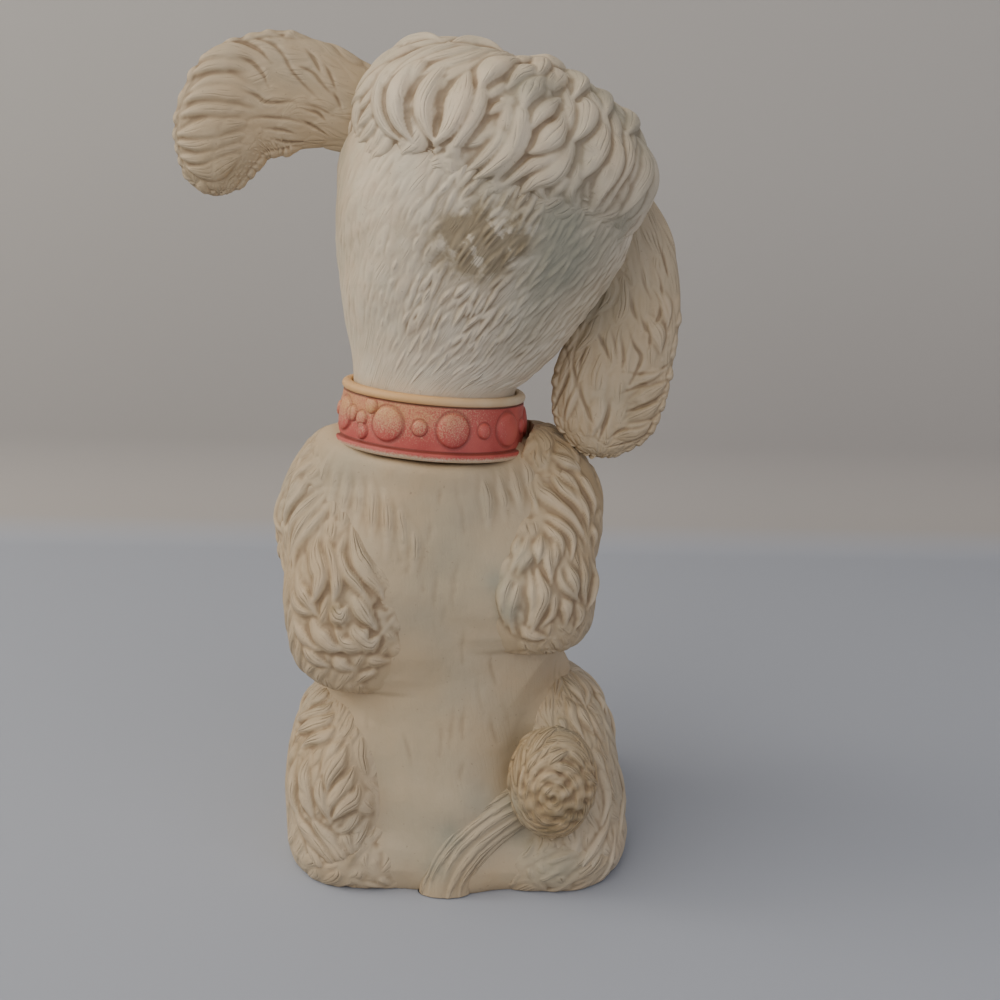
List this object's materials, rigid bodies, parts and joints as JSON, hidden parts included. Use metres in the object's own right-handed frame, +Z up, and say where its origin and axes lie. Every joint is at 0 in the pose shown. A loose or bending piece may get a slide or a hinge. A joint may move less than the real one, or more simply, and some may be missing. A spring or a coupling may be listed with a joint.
{
  "type": "rubber squeak toy",
  "caption": "Hollow moulded rubber poodle that sits up, with a head that turns inside a studded collar and a squeaker pressed into its base.",
  "frame": {"origin": "on the resting face, under the middle of the seated torso", "axes": "+Z up, the dog faces -Y with its back to +Y, its left side is +X"},
  "size_m": [0.1529, 0.1275, 0.2511],
  "materials": {
    "cream_rubber": "matte, aged, slightly dusty moulded rubber",
    "painted_collar_rubber": "matte rubber with worn red paint",
    "tinned_steel": "dull tinned steel",
    "sheet_brass": "thin rolled sheet"
  },
  "bodies": {
    "body": {"body_shell": "cream_rubber", "collar": "painted_collar_rubber", "squeaker_outer_cup": "tinned_steel", "squeaker_inner_cup": "tinned_steel", "squeaker_reed_plate": "tinned_steel", "squeaker_rivet": "sheet_brass"},
    "head": {"head_shell": "cream_rubber"},
    "reed": {"squeaker_reed": "sheet_brass"}
  },
  "joints": [
    {"name": "head_swivel", "type": "hinge", "parent": "body", "child": "head", "pos_m": [0.0095, 0, 0.1401], "axis": [-0.0767, 0, 0.9971], "continuous": true},
    {"name": "reed_flex", "type": "hinge", "parent": "body", "child": "reed", "pos_m": [-0.0032, -0.018, 0.0059], "axis": [0, -1, 0], "range_deg": [-3, 3], "stiffness_Nm_per_rad": 0.02}
  ]
}
